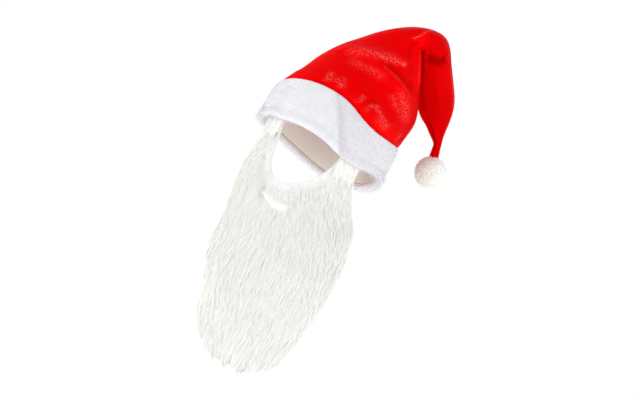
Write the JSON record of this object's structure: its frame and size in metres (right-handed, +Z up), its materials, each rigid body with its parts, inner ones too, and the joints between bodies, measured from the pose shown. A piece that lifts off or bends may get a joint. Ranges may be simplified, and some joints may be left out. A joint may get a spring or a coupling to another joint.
{
  "type": "santa hat with beard",
  "caption": "Floppy red velour Santa hat with a white plush cuff, a fur pompom and an attached long white faux-fur beard.",
  "frame": {"origin": "middle of the brim opening at the cuff's lower edge, where a head fits", "axes": "+Z up along an upright head, -Y the way the face looks, +X to the viewer's right"},
  "size_m": [0.2397, 0.2404, 0.4988],
  "materials": {
    "velour": "satin",
    "plush": "matte",
    "facing": "matte",
    "fur": "matte",
    "pompom_fur": "matte"
  },
  "bodies": {
    "root": {"crown": "velour", "cuff": "plush", "inner_band": "facing", "beard": "fur", "pompom": "pompom_fur"}
  },
  "joints": []
}
